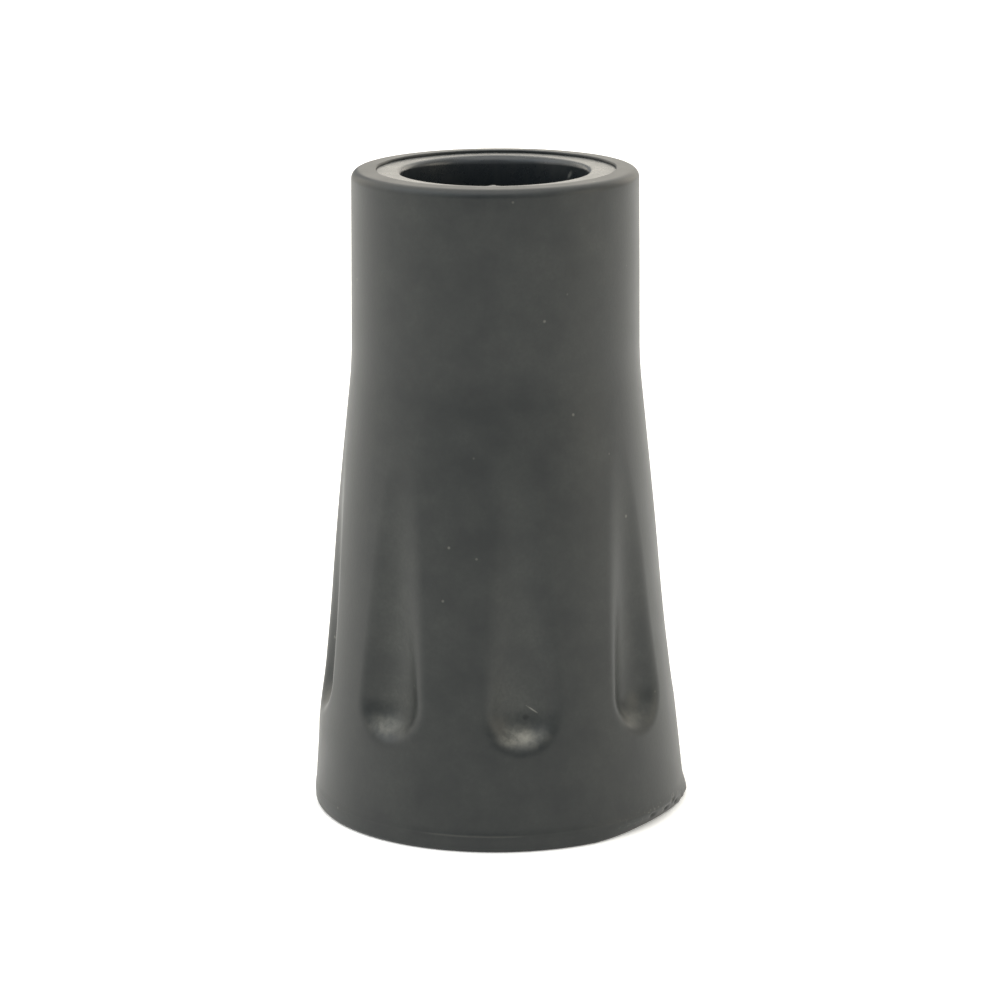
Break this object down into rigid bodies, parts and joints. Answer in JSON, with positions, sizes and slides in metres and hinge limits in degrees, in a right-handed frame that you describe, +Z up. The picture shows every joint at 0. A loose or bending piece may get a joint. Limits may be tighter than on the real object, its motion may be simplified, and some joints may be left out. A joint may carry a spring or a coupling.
{
  "type": "trekking pole tip",
  "caption": "Flared rubber walking tip with fluted skirt, moulded round a plastic liner whose bore grips the end of a trekking pole.",
  "frame": {"origin": "centre of the ground face, on the plane that the tip stands on", "axes": "+Z up along the pole's axis, out of the socket's mouth; a flute faces each of +X, -X, +Y and -Y"},
  "size_m": [0.0224, 0.0224, 0.038],
  "materials": {
    "moulded_rubber": "matt vulcanised rubber, dark green-grey, with a fine dusty bloom",
    "liner_plastic": "moulded hard plastic, satin black",
    "disc_steel": "zinc-plated punched steel, dull"
  },
  "bodies": {
    "root": {"rubber_boot": "moulded_rubber", "pole_liner": "liner_plastic", "steel_disc": "disc_steel"}
  },
  "joints": []
}
